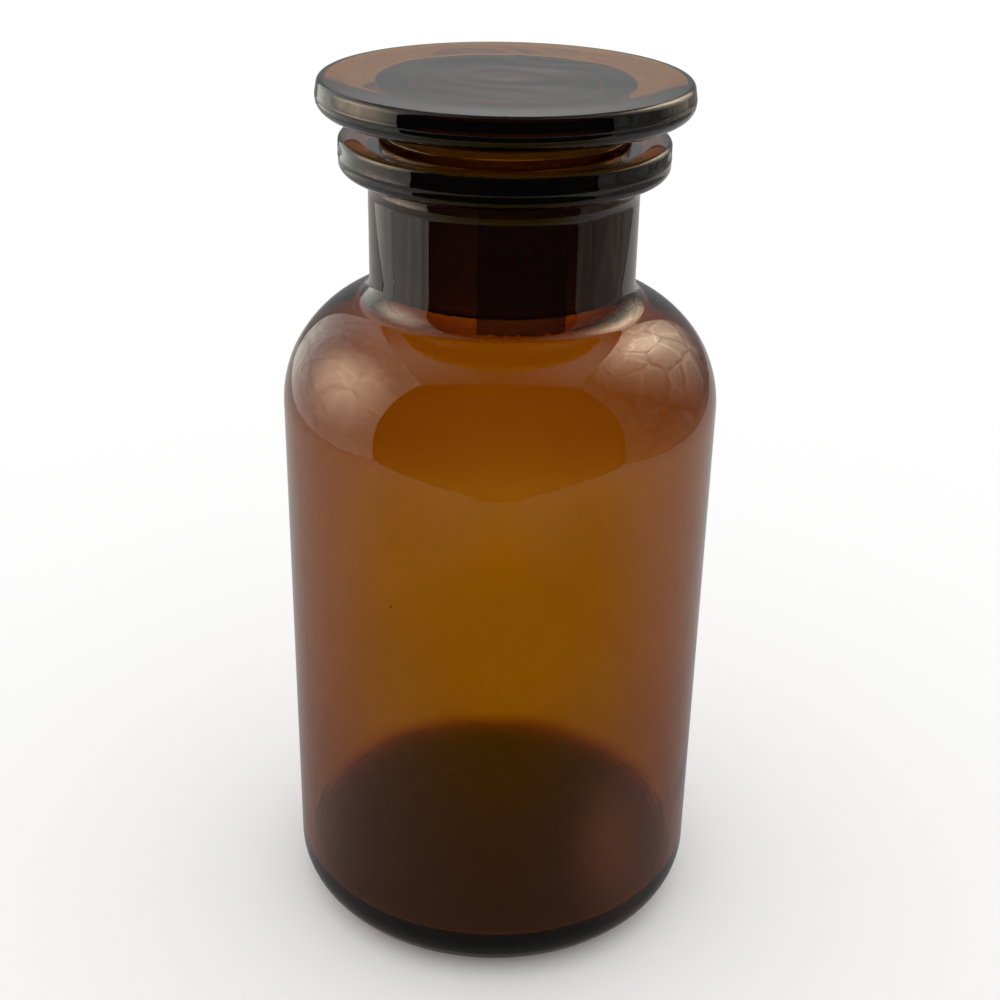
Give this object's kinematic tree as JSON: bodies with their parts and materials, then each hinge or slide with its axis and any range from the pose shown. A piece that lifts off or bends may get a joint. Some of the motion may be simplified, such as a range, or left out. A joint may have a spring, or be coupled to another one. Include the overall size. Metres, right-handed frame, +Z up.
{
  "type": "reagent bottle",
  "caption": "Wide-mouth amber glass reagent bottle with round shoulder, flanged neck and a flat-headed ground-glass stopper.",
  "frame": {"origin": "centre of the ring that the bottle stands on, on the supporting surface", "axes": "+Z up along the bottle's axis; the object is a body of revolution, so X and Y are any two horizontal directions"},
  "size_m": [0.084, 0.084, 0.1725],
  "materials": {
    "amber_glass_body": "clear amber, glossy, with a ground socket in the neck",
    "amber_glass_stopper": "clear amber, glossy head with a faintly wavy top, ground plug"
  },
  "bodies": {
    "bottle": {"bottle": "amber_glass_body"},
    "stopper": {"stopper": "amber_glass_stopper"}
  },
  "joints": [
    {"name": "stopper_lift", "type": "slide", "parent": "bottle", "child": "stopper", "axis": [0, 0, 1], "range_m": [0, 0.05]}
  ]
}
